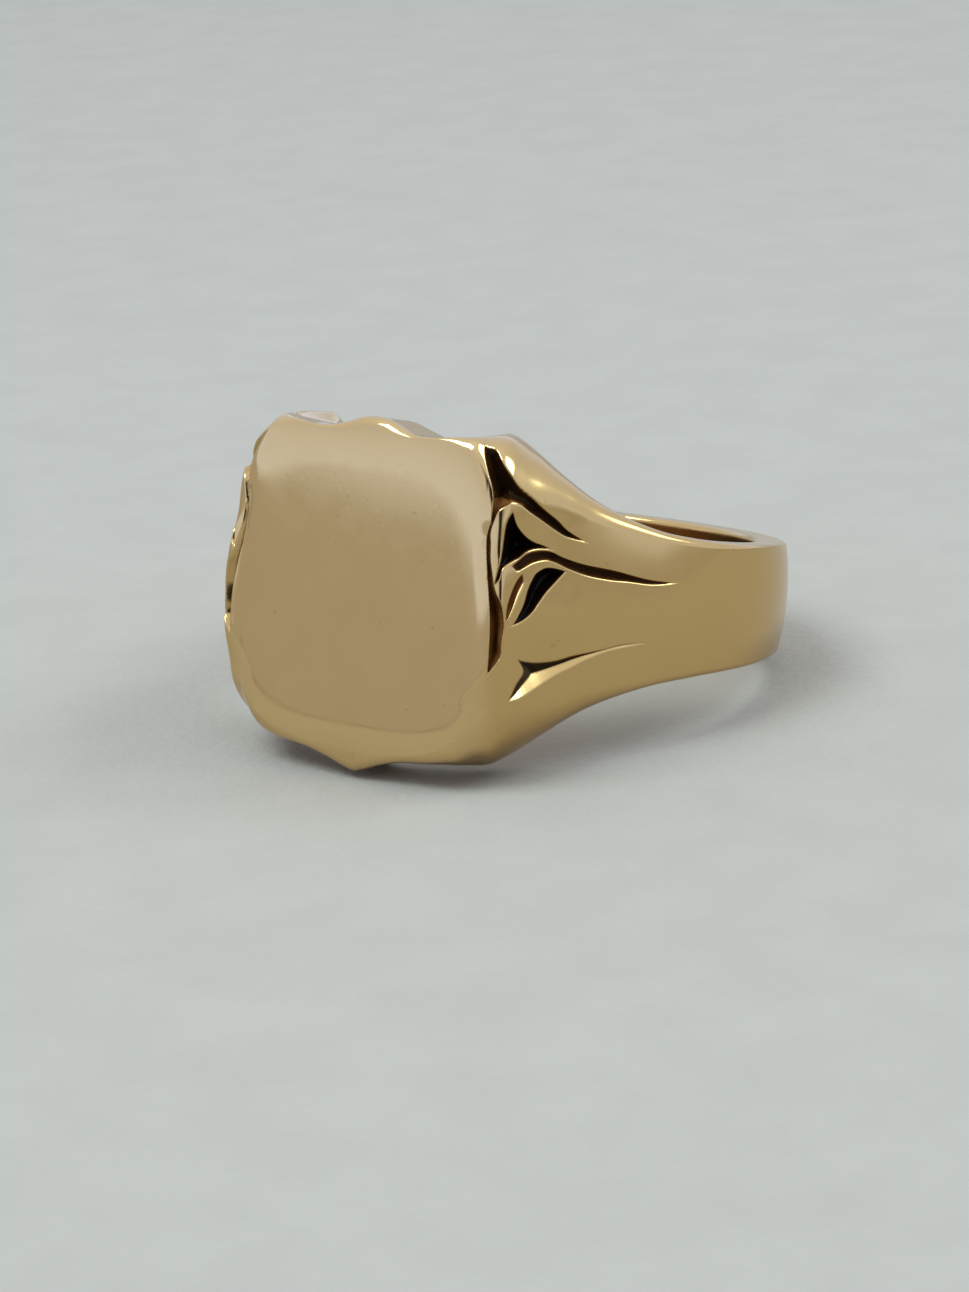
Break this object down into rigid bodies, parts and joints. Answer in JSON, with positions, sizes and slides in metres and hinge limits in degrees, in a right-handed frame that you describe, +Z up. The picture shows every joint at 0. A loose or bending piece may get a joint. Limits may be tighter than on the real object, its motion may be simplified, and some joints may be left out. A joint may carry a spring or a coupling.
{
  "type": "signet ring",
  "caption": "Gold signet ring with a plain scalloped shield face, scroll-carved shoulders and a tapering D-section shank.",
  "frame": {"origin": "centre of the finger hole, half way along the shank's width", "axes": "+Z up with the ring lying at rest; the shield face looks towards -Y and leans up, and the ring is symmetric about X = 0"},
  "size_m": [0.0216, 0.0237, 0.0139],
  "materials": {
    "gold": "polished yellow gold, lightly worn",
    "solder": "polished hard solder, matched to the gold"
  },
  "bodies": {
    "root": {"shield_face_plate": "gold", "head_block": "gold", "shoulder_right": "gold", "shoulder_left": "gold", "shank": "gold", "solder_face_seam": "solder", "solder_shoulder_right": "solder", "solder_shoulder_left": "solder", "solder_shank_right": "solder", "solder_shank_left": "solder"}
  },
  "joints": []
}
